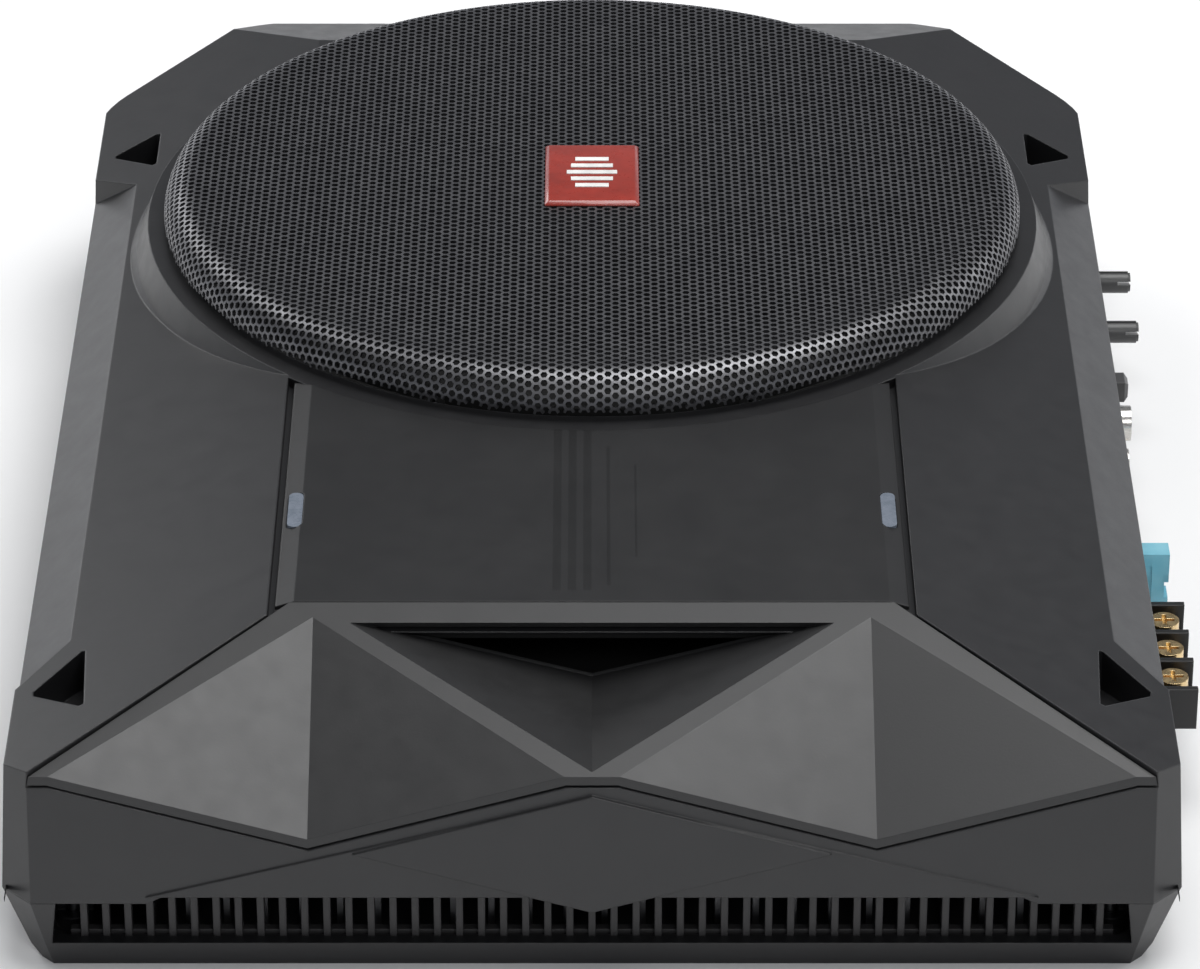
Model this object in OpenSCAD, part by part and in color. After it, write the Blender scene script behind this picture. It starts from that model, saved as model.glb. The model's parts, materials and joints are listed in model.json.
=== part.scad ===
// Powered car subwoofer: a low under-seat box with an 8-inch driver, amplifier and slot port.
// X is across the case, +X the connector side. -Y is the faceted front. +Z is up.
// The origin is at the middle of the underside.

/* [Enclosure] */
// Depth of the case, front to back
body_len = 359; // [358:0.5:361]
// Width of the case at the parting line
body_w = 248; // [247:0.5:250]
// Height of the flat centre panel
panel_z = 59; // [58.5:0.25:59.5]
// Height of the line where the two shells meet
parting_z = 17; // [16.5:0.25:17.5]
// Wall thickness of both shells
wall = 3; // [2.5:0.25:3.25]
// Thickness of the floor of the lower shell
floor_t = 2.8; // [2:0.2:3]
// Fall of the side areas per mm towards the side walls
side_fall = 0.24; // [0.23:0.01:0.25]
// Length of the slanted cut at each back corner, along one side
back_cut = 44.5; // [40:0.5:48]
// Radius that rounds the back corners
corner_r = 22; // [10:1:26]

/* [Mounting] */
// Radius of the four mounting holes
mount_r = 2.6; // [2.2:0.1:3]
// Distance between the mounting holes across the case
mount_dx = 223.2; // [222:0.4:224]
// Distance between the mounting holes along the case
mount_dy = 248.4; // [247:0.4:250]
// How deep the corner wells are
well_depth = 9; // [6:0.5:10]

/* [Front facets] */
// Distance of the top ridge in front of the middle of the case
ridge_y = 127; // [126:0.5:128]
// Height of the front top edge
front_edge_z = 45.5; // [45:0.25:46]
// Height of the lowest point of each large pocket
pocket_z = 31.5; // [30.5:0.25:33]
// Half of the width of each large pocket
pocket_half = 53.7; // [52:0.1:54]
// Height of the floor of the port recess at its back
recess_z = 43.4; // [42.5:0.1:44]
// Height of the raised lip along the mouth of the port
recess_lip_h = 0.45; // [0.3:0.05:0.8]
// Slope of the front of that lip in degrees
recess_lip_tilt = 28; // [24:1:34]
// Thickness of the facet bezel
bezel_t = 1.8; // [1.4:0.1:2]
// Dark gap between the bezel and the front wall
bezel_gap = 0.6; // [0.4:0.1:0.8]

/* [Front vents] */
// Distance between the vent bars
bar_pitch = 4.65; // [4.3:0.05:6]
// Width of a vent bar
bar_w = 1.5; // [1:0.1:2]
// Height of the lip below the vents
lip_z = 5.7; // [5:0.1:6.5]

/* [Woofer] */
// Distance of the woofer behind the middle of the case
woofer_y = 55; // [54.5:0.25:55.5]
// Radius of the grille at its foot
grille_r = 102.4; // [102:0.2:103]
// Height of the flat top of the grille
grille_z = 68.6; // [67:0.2:69]
// Thickness of the badge on the grille
badge_t = 1.2; // [1:0.1:1.2]
// Height of the raised mark on the badge
badge_mark_t = 0.2; // [0.1:0.05:0.2]
// Distance between the openings of the grille
mesh_pitch = 15; // [14:0.5:22]

/* [Side controls] */
// Height of the two knobs
knob_z = 27; // [25:0.5:29]
// Radius of each knob
knob_r = 2.7; // [2.5:0.1:3.2]
// Distance that the knobs reach from the middle of the case
knob_reach = 132.2; // [130:0.2:134]
// Distance between neighbouring terminal screws
terminal_pitch = 11.8; // [11.4:0.1:12]
// Height of the terminal block
terminal_top_z = 30; // [29.6:0.1:30.4]

/* [Hidden] */
$fn = 64;

// Case
half_w = body_w / 2;
half_len = body_len / 2;
front_lean = 0.168;
back_fall = 0.307;
back_edge = [half_len - 3.5, 50];
top_z = 62;
crown_z = panel_z - 0.8;
side_start_x = 69.2;
chamfer_in_x = 112;
chamfer_out = [half_w - 1.4, 39];
chamfer_front_y = -124.6;
chamfer_back_y = 89;
corner_face = [half_w - 2.95, half_len - 3.55];
corner_lean_up = 6.8;
corner_lean_down = 15.6;
function side_z(x) = panel_z - 0.5 - side_fall * (abs(x) - 68);
function front_y(z) = -half_len + front_lean * (z - parting_z);
function arc(c, r, a0, a1, n) =
    [for (i = [0:n]) c + r * [cos(a0 + (a1 - a0) * i / n), sin(a0 + (a1 - a0) * i / n)]];
function toward(p, q, d) = p + d * (q - p) / norm(q - p);
function blunted(p, d) =
    [for (i = [0:2]) each [toward(p[i], p[(i + 2) % 3], d), toward(p[i], p[(i + 1) % 3], d)]];
function mirrored(points) =
    concat(points, [for (i = [len(points) - 1:-1:0]) [-points[i].x, points[i].y]]);

// Mounting holes and wells
mount_y = -17.8;
well_floor_z = side_z(mount_dx / 2) - well_depth;
mount_boss_r = 5;
case_screw_at = [[70, 165], [-70, 165], [110, -164], [-110, -164], [-113, -20], [-113, -90]];

// Front facets
front_edge_y = front_y(front_edge_z);
wedge_fall = (panel_z - front_edge_z) / (-ridge_y - front_edge_y);
band_back = 4.2;
apex_y = -ridge_y - band_back;
apex_z = panel_z - wedge_fall * band_back;
pocket_x = 59.4;
pocket_tip_y = front_y(pocket_z);
pocket_tilt = atan2(apex_z - pocket_z, apex_y - pocket_tip_y);
pocket_rise = (apex_y - front_edge_y) * sin(pocket_tilt) - (apex_z - front_edge_z) * cos(pocket_tilt);
recess_half = 53.5;
recess_front_y = front_edge_y + 1.3;
recess_front_z = front_edge_z + 1.3 * wedge_fall;
recess_tilt = atan2(recess_front_z - recess_z, apex_y - recess_front_y);
band_outer_x = [64.5, 117.1];

// Front wall relief
relief_top_z = 41.5;
relief_mid = [50, 28.6];
relief_low_z = 15.6;
relief_t = 0.5;
mask_z = parting_z + 1.7;

// Woofer
collar_r = 107;
shelf_z = 50.5;
shelf_r = 90;
counterbore_r = 100;
flange_r = 98.6;
driver_screw_r = 94.6;
screw_count = 8;

// Connector side
window_y = [-120, 92];
window_z = [11, 37.2];
panel_x = [118.2, 120.2];
board_face_x = 106.1;
knob_y = [77.5, 52];
button_y = 28;
rca_y = 5;
rca_z = [16.6, 28.2];
level_socket_y = -19;
remote_socket_y = -41;
fuse_y = -66;
fuse_z = [17.6, 36];
terminal_y = -97.5;
terminal_x = 127;
terminal_reach = 131.9;
barrier_t = 1.6;

// The two limits of a span with middle c and half width h.
function about(c, h) = [c - h, c + h];

// A box from its two limits on each axis.
module box(x, y, z) {
    translate([x[0], y[0], z[0]])
        cube([x[1] - x[0], y[1] - y[0], z[1] - z[0]]);
}

// A rod along X, from x[0] to x[1].
module rod_x(x, r, y, z) {
    translate([x[0], y, z])
        rotate([0, 90, 0])
            cylinder(r = r, h = x[1] - x[0]);
}

// A rod along Y, from y[0] to y[1].
module rod_y(y, r, x, z) {
    translate([x, y[0], z])
        rotate([-90, 0, 0])
            cylinder(r = r, h = y[1] - y[0]);
}

// A rod along Z, from z[0] to z[1].
module rod_z(z, r, x, y) {
    translate([x, y, z[0]])
        cylinder(r = r, h = z[1] - z[0]);
}

// Sweeps an X-Z drawing along Y, and a Y-Z drawing along X.
module sweep_y(length) {
    rotate([90, 0, 0])
        linear_extrude(length, center = true)
            children();
}

module sweep_x(length) {
    rotate([90, 0, 90])
        linear_extrude(length, center = true)
            children();
}

// Turns an r-z drawing about the axis of the woofer.
module woofer_turn(n = 128) {
    translate([0, woofer_y, 0])
        rotate_extrude($fn = n)
            children();
}

// Outline of the case from above, drawn inset by i.
module outline(i = 0) {
    w = half_w - i;
    l = half_len - i;
    cut = back_cut - 0.586 * i;
    back = corner_r * tan(22.5);
    polygon(mirrored(concat(
        [[w, -l]],
        arc([w - corner_r, l - cut - back], corner_r, 0, 45, 5),
        arc([w - cut - back, l - corner_r], corner_r, 45, 90, 5))));
}

// The slanted faces at the two front corners, inset by i. lean is how far they tip in.
module corner_cuts(lean, i = 0) {
    for (s = [-1, 1])
        translate([s * (corner_face[0] - i), -(corner_face[1] - i), parting_z])
            rotate([0, -lean, s > 0 ? -45 : 225])
                translate([0, -30, -40])
                    cube([30, 60, 90]);
}

// Outer form of the upper shell, before its openings are cut.
module upper_form() {
    difference() {
        intersection() {
            translate([0, 0, parting_z])
                linear_extrude(top_z - parting_z)
                    outline();
            sweep_y(2 * body_len)
                polygon(mirrored([
                    [half_w, parting_z],
                    [chamfer_out[0] + 0.05, side_z(chamfer_out[0])],
                    [side_start_x, crown_z],
                    [0, crown_z]]));
            sweep_x(2 * body_w)
                polygon([
                    [front_y(parting_z), parting_z],
                    [front_y(top_z), top_z],
                    [back_edge[0] - (top_z - back_edge[1]) / back_fall, top_z],
                    back_edge,
                    [half_len - 1, 46],
                    [half_len, parting_z]]);
        }
        corner_cuts(corner_lean_up);
    }
}

// Hollow of the upper shell.
module upper_hollow() {
    in_x = half_w - wall;
    difference() {
        intersection() {
            translate([0, 0, parting_z - 1])
                linear_extrude(top_z)
                    outline(wall);
            sweep_y(2 * body_len)
                polygon(mirrored([
                    [in_x, parting_z - 1],
                    [in_x - 1.3, 37.4],
                    [chamfer_in_x - 1.4, side_z(chamfer_in_x) - wall],
                    [side_start_x, panel_z - 4.5],
                    [0, panel_z - 4.5]]));
            sweep_x(2 * body_w)
                polygon([
                    [front_y(parting_z) + wall, parting_z - 1],
                    [front_y(top_z) + wall, top_z],
                    [back_edge[0] - 2.5 - (top_z - 47) / back_fall, top_z],
                    [back_edge[0] - 2.5, 47],
                    [half_len - wall - 1, 45],
                    [half_len - wall, parting_z - 1]]);
        }
        corner_cuts(corner_lean_up, wall);
    }
}

// Plan of the area that the facet bezel covers, grown by g.
module facet_plan(g = 0) {
    x0 = band_outer_x[0] + g;
    x1 = band_outer_x[1] + g;
    front = front_edge_y - 20;
    x2 = x1 + 20 * (x1 - x0) / (-ridge_y - front_edge_y);
    polygon([
        [-x0, -ridge_y + g],
        [x0, -ridge_y + g],
        [x2, front],
        [-x2, front]]);
}

// Space above a V-shaped floor that meets the back of the port recess at height z.
// The floor falls towards the front by fall degrees.
module recess_prism(z, fall) {
    rise = (apex_z - recess_z) * cos(fall);
    translate([0, apex_y, z])
        rotate([90 + fall, 0, 0])
            translate([0, 0, -5])
                linear_extrude(90)
                    polygon([
                        [0, 0],
                        [recess_half, rise],
                        [recess_half, 40],
                        [-recess_half, 40],
                        [-recess_half, rise]]);
}

// Solid below the facets: a sloping wedge with two V pockets and the port recess cut in it.
// Its outline is grown by g.
module facet_body(g = 0) {
    difference() {
        intersection() {
            linear_extrude(80)
                facet_plan(g);
            sweep_x(2 * body_w)
                polygon([
                    [-200, 0],
                    [-200, panel_z - wedge_fall * (200 - ridge_y)],
                    [-ridge_y, panel_z],
                    [-ridge_y + 5, panel_z],
                    [-ridge_y + 5, 0]]);
        }
        for (s = [-1, 1])
            translate([s * pocket_x, apex_y, apex_z])
                rotate([90 + pocket_tilt, 0, 0])
                    translate([0, 0, -1])
                        linear_extrude(90)
                            polygon([
                                [0, 0],
                                [pocket_half, pocket_rise],
                                [pocket_half, 40],
                                [-pocket_half, 40],
                                [-pocket_half, pocket_rise]]);
        intersection() {
            recess_prism(recess_z, -recess_tilt);
            recess_prism(recess_z + recess_lip_h, recess_lip_tilt);
            box([-70, 70], [-210, apex_y], [20, 90]);
        }
    }
}

// Everything behind the leaning front wall.
module behind_front() {
    sweep_x(2 * body_w)
        polygon([
            [front_y(0), 0],
            [front_y(80), 80],
            [0, 80],
            [0, 0]]);
}

// Triangular plan of a corner well. s is the side, f is -1 at the front; g grows it.
module well_plan(s, f, g = 0) {
    back = [[119.3 + g, 107], [107.6 - g, 116 + 1.3 * g], [107.6 - g, 97.2 - 1.3 * g]];
    front = [[119.3 + g, -144], [108.4 - g / 2, -129 + 1.5 * g], [107 - g, -153.2 - 1.3 * g]];
    points = f > 0 ? back : front;
    polygon([for (p = blunted(points, 1.3)) [s * p.x, p.y]]);
}

// The four places of the mounting holes.
module at_mounts() {
    for (s = [-1, 1], f = [-1, 1])
        translate([s * mount_dx / 2, mount_y + f * mount_dy / 2, 0])
            children();
}

module at_case_screws() {
    for (p = case_screw_at)
        translate([p.x, p.y, 0])
            children();
}

module at_driver_screws() {
    for (i = [0:screw_count - 1])
        translate([0, woofer_y, 0])
            rotate(22.5 + i * 360 / screw_count)
                translate([driver_screw_r, 0, 0])
                    children();
}

// The long chamfer along each side, between the front and back pods.
module side_chamfer(s) {
    drop = (side_z(chamfer_in_x) - chamfer_out[1]) / (chamfer_out[0] - chamfer_in_x);
    far_x = half_w + 6;
    intersection() {
        sweep_y(2 * body_len)
            polygon([
                [s * chamfer_in_x, side_z(chamfer_in_x)],
                [s * chamfer_in_x, top_z],
                [s * far_x, top_z],
                [s * far_x, side_z(chamfer_in_x) - drop * (far_x - chamfer_in_x)]]);
        linear_extrude(80)
            polygon([
                [s * (chamfer_in_x - 1), chamfer_front_y],
                [s * chamfer_in_x, chamfer_front_y],
                [s * far_x, chamfer_front_y - 1.5 * (far_x - chamfer_in_x)],
                [s * far_x, chamfer_back_y + 0.7 * (far_x - chamfer_in_x)],
                [s * chamfer_in_x, chamfer_back_y],
                [s * (chamfer_in_x - 1), chamfer_back_y]]);
    }
}

// Raised diamond pattern on the front wall, and the point that hangs over the vents.
module front_relief() {
    low_x = relief_mid[0] * 2 - 15;
    for (layer = [1, 2])
        intersection() {
            translate([0, -layer * relief_t, 0])
                behind_front();
            translate([0, -half_len, 0])
                rotate([90, 0, 0])
                    linear_extrude(30, center = true)
                        polygon(mirrored(layer == 1
                            ? [[0, relief_top_z - 0.4], [low_x + 8.4, mask_z], [0, mask_z]]
                            : [[0, relief_top_z], relief_mid, [0, relief_low_z]]));
            sweep_x(body_w)
                polygon([
                    [front_y(0) - 3, 0],
                    [front_y(80) - 3, 80],
                    [front_y(80) + 2.4, 80],
                    [front_y(0) + 2.4, 0]]);
        }
}

module seam_ring(z0, z1) {
    difference() {
        translate([0, 0, z0])
            linear_extrude(z1 - z0)
                difference() {
                    outline(0.9);
                    outline(2);
                }
        box([110, 130], window_y, [z0 - 1, z1 + 1]);
        box([-123, 123], [-190, -165], [z0 - 1, z1 + 1]);
    }
}

module top_housing() {
    color([0.10, 0.10, 0.11])
    difference() {
        union() {
            difference() {
                upper_form();
                upper_hollow();
            }
            intersection() {
                upper_form();
                union() {
                    at_mounts()
                        rod_z([parting_z, well_floor_z], mount_boss_r, 0, 0);
                    at_case_screws()
                        rod_z([parting_z, panel_z], 4, 0, 0);
                    for (s = [-1, 1], f = [-1, 1])
                        translate([0, 0, well_floor_z - 2.5])
                            linear_extrude(well_depth + 8)
                                well_plan(s, f, 2.2);
                }
            }
            woofer_turn()
                polygon([
                    [shelf_r, 45],
                    [109.5, 45],
                    [112, 46.6],
                    [109.2, 50.5],
                    [collar_r, 56.5],
                    [collar_r - 0.6, crown_z],
                    [shelf_r, crown_z]]);
            difference() {
                front_relief();
                box([-130, 130], [-190, -170], [pocket_z + 14, 60]);
            }
        }
        // Seat and opening of the woofer, with its pilot holes
        rod_z([40, 70], shelf_r, 0, woofer_y);
        rod_z([shelf_z, 70], counterbore_r, 0, woofer_y);
        at_driver_screws()
            rod_z([45.5, 52], 1.55, 0, 0);
        // Seat of the centre panel, with a dark groove along each side
        difference() {
            union() {
                box([-side_start_x, side_start_x], [-ridge_y - 4, 10], [panel_z - 2, 70]);
                for (s = [-1, 1])
                    translate([s * (side_start_x - 0.7), 0, 0])
                        box([-0.7, 0.7], [-ridge_y - 4, 10], [panel_z - 3.2, 70]);
            }
            rod_z([30, 80], collar_r + 0.2, 0, woofer_y);
        }
        // Opening for the facet bezel
        difference() {
            translate([0, 0, parting_z - 1])
                linear_extrude(60)
                    facet_plan(0.3);
            translate([0, 0, -bezel_t - bezel_gap])
                facet_body(0.6);
        }
        for (s = [-1, 1]) {
            side_chamfer(s);
            rod_z([50, 60], 1.3, s * 65, -87.5);
        }
        // Corner wells and mounting holes
        for (s = [-1, 1], f = [-1, 1])
            translate([0, 0, well_floor_z])
                linear_extrude(40)
                    well_plan(s, f);
        at_mounts()
            rod_z([0, 60], mount_r, 0, 0);
        at_case_screws()
            rod_z([0, 30], 1.4, 0, 0);
        // Window of the connector panel
        box([110, 130], window_y, [0, window_z[1]]);
        // Lower edge of the front wall above the vents
        difference() {
            sweep_y(2 * body_len)
                polygon(mirrored([[97.5, parting_z - 2], [89.5, mask_z], [0, mask_z]]));
            box([-130, 130], [-174, 200], [0, 30]);
            sweep_y(2 * body_len)
                polygon(mirrored([[0, relief_top_z], relief_mid, [0, relief_low_z]]));
        }
        seam_ring(parting_z - 1, parting_z + 1);
    }
}

module centre_panel() {
    color([0.09, 0.09, 0.10])
    difference() {
        intersection() {
            sweep_y(2 * body_len)
                polygon(mirrored([
                    [67.7, panel_z - 2],
                    [67.7, panel_z - 1.3],
                    [63.6, panel_z],
                    [0, panel_z]]));
            box([-80, 80], [-ridge_y + 0.3, 10], [40, 80]);
        }
        rod_z([30, 80], collar_r + 0.5, 0, woofer_y);
        for (s = [-1, 1])
            lens_shape(s, 0.1, panel_z - 5);
    }
}

// Rounded slot shape of an indicator lens, grown by g, from height z0 up.
module lens_shape(s, g, z0) {
    top = panel_z - 0.25 + 10 * g;
    box([s * 65 - 1.6 - g, s * 65 + 1.6 + g], [-93.3, -81.7], [z0, top]);
    rod_z([z0, top], 1.6 + g, s * 65, -93.3);
    rod_z([z0, top], 1.6 + g, s * 65, -81.7);
}

module front_facet_bezel() {
    color([0.22, 0.22, 0.23])
    difference() {
        intersection() {
            facet_body();
            behind_front();
        }
        translate([0, 0, -bezel_t])
            facet_body();
        box([-130, 130], [-200, 0], [-1, 25]);
    }
}

module base_housing() {
    color([0.08, 0.08, 0.09])
    difference() {
        union() {
            difference() {
                lower_form(0);
                translate([0, 0, floor_t])
                    lower_form(wall);
            }
            intersection() {
                lower_form(0);
                union() {
                    at_mounts()
                        rod_z([0, parting_z], mount_boss_r, 0, 0);
                    at_case_screws()
                        rod_z([0, parting_z], 4.4, 0, 0);
                }
            }
        }
        // Opening of the vents above the lip, with slanted ends
        vent_window();
        box([110, 130], window_y, [window_z[0], 30]);
        at_mounts()
            rod_z([-1, 60], mount_r, 0, 0);
        at_case_screws() {
            rod_z([-1, 30], 1.9, 0, 0);
            rod_z([-1, 2.4], 3.6, 0, 0);
        }
        at_feet()
            rod_z([-1, 1], 9.2, 0, 0);
    }
}

module vent_window() {
    intersection() {
        sweep_y(2 * body_len)
            polygon(mirrored([[113.6, lip_z], [112.2, parting_z + 1], [0, parting_z + 1]]));
        box([-130, 130], [-200, -165], [lip_z - 1, parting_z + 2]);
    }
}

// Tapered form of the lower shell, inset by i.
module lower_form(i) {
    x = half_w - i;
    y = half_len - i;
    difference() {
        intersection() {
            linear_extrude(parting_z + (i > 0 ? 1 : 0))
                outline(i);
            sweep_y(2 * body_len)
                polygon(mirrored([
                    [x - 7.8, 0],
                    [x - 5.4, 2.6],
                    [x, parting_z],
                    [x, parting_z + 2],
                    [0, parting_z + 2],
                    [0, 0]]));
            sweep_x(2 * body_w)
                polygon([
                    [-y + 2.8, 0],
                    [-y + 2, lip_z],
                    [-y, parting_z],
                    [-y, parting_z + 2],
                    [y, parting_z + 2],
                    [y, parting_z],
                    [y - 2.5, 2.6],
                    [y - 5, 0]]);
        }
        corner_cuts(-corner_lean_down, i);
    }
}

module at_feet() {
    for (s = [-1, 1], y = [-150, 148])
        translate([s * 78, y, 0])
            children();
}

module foot_pads() {
    color([0.05, 0.05, 0.05])
    at_feet()
        rod_z([0, 1], 9, 0, 0);
}

module vent_comb() {
    count = floor(216 / bar_pitch / 2);
    front = -half_len + 4.6;
    color([0.13, 0.13, 0.13]) {
        for (i = [-count:count])
            translate([i * bar_pitch, 0, 0])
                box([-bar_w / 2, bar_w / 2], [front, front + 3.4], [lip_z, mask_z + 2.4]);
        box([-110, 110], [front + 1.4, front + 3.4], [mask_z + 1, mask_z + 3.4]);
        box([-110, 110], [front + 1.4, front + 3.4], [floor_t, lip_z + 0.8]);
    }
}

module grille() {
    rim = 8;
    t = 1;
    c = [grille_r - rim, grille_z - rim];
    color([0.12, 0.12, 0.12]) {
        difference() {
            woofer_turn()
                polygon(concat(
                    [[0, grille_z]],
                    arc(c, rim, 90, 0, 5),
                    [[grille_r, crown_z + 0.1], [grille_r - t, crown_z + 0.1]],
                    arc(c, rim - t, 0, 90, 5),
                    [[0, grille_z - t]]));
            for (i = [-7:7], j = [-7:7]) {
                p = mesh_pitch * [i + j / 2, j * sqrt(3) / 2];
                under_badge = abs(p.x) < 17 && abs(p.y) < 21;
                if (norm(p) < c.x - 6 && !under_badge)
                    translate([p.x, woofer_y + p.y, grille_z - 4])
                        cylinder(r = mesh_pitch * 0.42, h = 8, $fn = 6);
            }
        }
        for (a = [0:60:300])
            translate([0, woofer_y, 0])
                rotate(a) {
                    box([counterbore_r - 1.1, counterbore_r - 0.2], [-5, 5], [53.6, crown_z + 1.2]);
                    box([counterbore_r - 0.3, grille_r - 0.6], [-5, 5], [crown_z + 0.1, crown_z + 1.2]);
                }
    }
}

module badge_plate() {
    bevel = 1;
    x = 11.2;
    y = 15.4;
    z = [grille_z, grille_z + badge_t];
    color([0.75, 0.10, 0.06])
    intersection() {
        translate([0, woofer_y - 2, 0])
            box([-x, x], [-y, y], z);
        sweep_y(2 * body_len)
            polygon(mirrored([[x, z[0]], [x, z[0] + 0.4], [x - bevel, z[1]], [0, z[1]]]));
        sweep_x(2 * body_w)
            translate([woofer_y - 2, 0])
                polygon(mirrored([[y, z[0]], [y, z[0] + 0.4], [y - bevel, z[1]], [0, z[1]]]));
    }
}

// Plain mark of five bars.
module badge_mark() {
    z = grille_z + badge_t;
    color("white")
    for (i = [-2:2])
        translate([0, woofer_y - 2 + 3.4 * i, 0])
            box([abs(i) - 6, 6 - abs(i)], [-0.9, 0.9], [z, z + badge_mark_t]);
}

module indicator_lenses() {
    color([0.60, 0.68, 0.74])
    for (s = [-1, 1])
        lens_shape(s, 0, panel_z - 2);
}

module indicator_leds() {
    color([0.80, 0.80, 0.80])
    for (s = [-1, 1]) {
        rod_z([panel_z - 6, panel_z - 2.1], 1.25, s * 65, -87.5);
        rod_z([panel_z - 7, panel_z - 6], 2, s * 65, -87.5);
    }
}

module bass_port_duct() {
    top = panel_z - 4.6;
    color([0.10, 0.10, 0.10])
    difference() {
        box([-50, 50], [apex_y + 0.3, -58], [recess_z - 4.8, top]);
        box([-48, 48], [apex_y - 5, -50], [recess_z - 2.8, top - 2]);
    }
}

module seam_gasket() {
    color([0.15, 0.15, 0.15])
    seam_ring(parting_z, parting_z + 1);
}

module case_screws() {
    color("silver")
    at_case_screws()
        difference() {
            union() {
                rod_z([0.3, 2.4], 3.4, 0, 0);
                rod_z([2.4, 28], 1.3, 0, 0);
            }
            box([-2, 2], [-0.4, 0.4], [0, 1.3]);
            box([-0.4, 0.4], [-2, 2], [0, 1.3]);
        }
}

module driver_basket() {
    color([0.20, 0.20, 0.21])
    difference() {
        union() {
            woofer_turn()
                polygon([
                    [20.5, 23.5],
                    [45, 23.5],
                    [47, 27],
                    [88.4, 46.5],
                    [89.4, shelf_z + 0.5],
                    [flange_r, shelf_z + 0.5],
                    [flange_r, shelf_z + 2],
                    [88, shelf_z + 2],
                    [86.6, 47.6],
                    [45.6, 28.6],
                    [43.6, 27],
                    [38.5, 27],
                    [38.5, 25],
                    [20.5, 25]]);
            box([-8, 8], [0.5, 12], [23.5, 25]);
        }
        for (a = [0:60:300])
            translate([0, woofer_y, 0])
                rotate(a)
                    box([52, 82], [-15, 15], [20, 48.5]);
        at_driver_screws()
            rod_z([45, 60], 1.6, 0, 0);
    }
}

module driver_gasket() {
    color([0.05, 0.05, 0.05])
    difference() {
        woofer_turn()
            translate([shelf_r + 0.6, shelf_z])
                square([7.4, 0.5]);
        at_driver_screws()
            rod_z([45, 60], 1.7, 0, 0);
    }
}

module driver_screws() {
    color("dimgray")
    at_driver_screws()
        difference() {
            union() {
                rod_z([53.2, 54.8], 2.8, 0, 0);
                rod_z([46, 53.2], 1.45, 0, 0);
            }
            box([-1.8, 1.8], [-0.35, 0.35], [54, 55]);
            box([-0.35, 0.35], [-1.8, 1.8], [54, 55]);
        }
}

module magnet_ring() {
    color([0.18, 0.18, 0.19])
    woofer_turn()
        translate([22, 9.5])
            square([23, 10]);
}

module top_plate() {
    color([0.62, 0.62, 0.62])
    woofer_turn()
        translate([19.8, 19.5])
            square([23.2, 4]);
}

module pole_yoke() {
    color([0.55, 0.55, 0.56])
    woofer_turn()
        polygon([[5, 5], [44, 5], [44, 9.5], [16.8, 9.5], [16.8, 23.5], [5, 23.5]]);
}

module cone() {
    color([0.14, 0.14, 0.15])
    woofer_turn()
        polygon([
            [18.6, 30.2],
            [78.5, 49.8],
            [80.2, 49.8],
            [80.2, 50.8],
            [78.2, 50.8],
            [18.6, 31.3]]);
}

module dust_cap() {
    steps = 6;
    edge = 24;
    color([0.12, 0.12, 0.12])
    woofer_turn()
        polygon(concat(
            [for (i = [0:steps]) [edge * i / steps, 33.6 + 6.5 * cos(90 * i / steps)]],
            [for (i = [steps:-1:0]) [(edge - 1) * i / steps, 33.6 + 5.7 * cos(90 * i / steps)]]));
}

module voice_coil() {
    color([0.72, 0.45, 0.20])
    woofer_turn()
        polygon([
            [18, 15.5],
            [18.6, 15.5],
            [18.6, 17.5],
            [19.3, 17.5],
            [19.3, 26],
            [18.6, 26],
            [18.6, 31],
            [18, 31]]);
}

module surround() {
    c = [86, 52.6];
    color([0.06, 0.06, 0.06])
    difference() {
        woofer_turn()
            polygon(concat(
                [[78.6, 50.9], [81.2, 50.9]],
                arc(c, 4.8, 180, 0, 8),
                [[98, 52.6], [98, 53.1], [91.6, 53.1]],
                arc(c, 5.6, 5, 180, 8),
                [[80.4, 51.6], [78.6, 51.6]]));
        at_driver_screws()
            rod_z([45, 60], 1.7, 0, 0);
    }
}

module spider() {
    waves = 5;
    color([0.72, 0.60, 0.36])
    woofer_turn()
        polygon(concat(
            [for (i = [0:2 * waves]) [18.7 + i * 2.15, 27.1 + (i % 2) * 0.9]],
            [for (i = [2 * waves:-1:0]) [18.7 + i * 2.15, 27.6 + (i % 2) * 0.9]]));
}

module driver_terminals() {
    color([0.30, 0.24, 0.16])
    box([-7, 7], [1, 8.8], [19.8, 23.5]);
}

module speaker_leads() {
    for (s = [-1, 1])
        color(s > 0 ? "firebrick" : [0.1, 0.1, 0.1]) {
            rod_y([-56, 1], 1.1, s * 4, 21.6);
            translate([s * 4, -56, 21.6])
                sphere(r = 1.1);
            rod_z([11.1, 21.6], 1.1, s * 4, -56);
        }
}

module amp_board() {
    color([0.05, 0.28, 0.14])
    difference() {
        box([-100, 104], [-149.5, -48], [9.5, 11.1]);
        at_standoffs()
            rod_z([0, 20], 1.7, 0, 0);
    }
}

module at_standoffs() {
    for (x = [-94, 2, 98], y = [-139, -52])
        translate([x, y, 0])
            children();
}

module board_standoffs() {
    color([0.75, 0.66, 0.35])
    at_standoffs()
        difference() {
            rod_z([floor_t, 9.5], 3, 0, 0);
            rod_z([4.5, 10], 1.5, 0, 0);
        }
}

module board_screws() {
    color("silver")
    at_standoffs() {
        rod_z([11.1, 12.8], 2.8, 0, 0);
        rod_z([5.5, 11.1], 1.4, 0, 0);
    }
}

module heat_sink() {
    color([0.35, 0.35, 0.36]) {
        box([-95, 95], [-154, -150], [floor_t, 26]);
        for (x = [-94:8:94])
            box([x, x + 1.4], [-168, -154], [floor_t, 24]);
    }
}

module transistors() {
    for (x = [-75:30:75])
        color([0.12, 0.12, 0.12]) {
            box([x - 5, x + 5], [-150, -145.6], [14, 24]);
            for (leg = [-2.5, 0, 2.5])
                box([x + leg - 0.4, x + leg + 0.4], [-148.2, -147.6], [11.1, 14]);
        }
}

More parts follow.
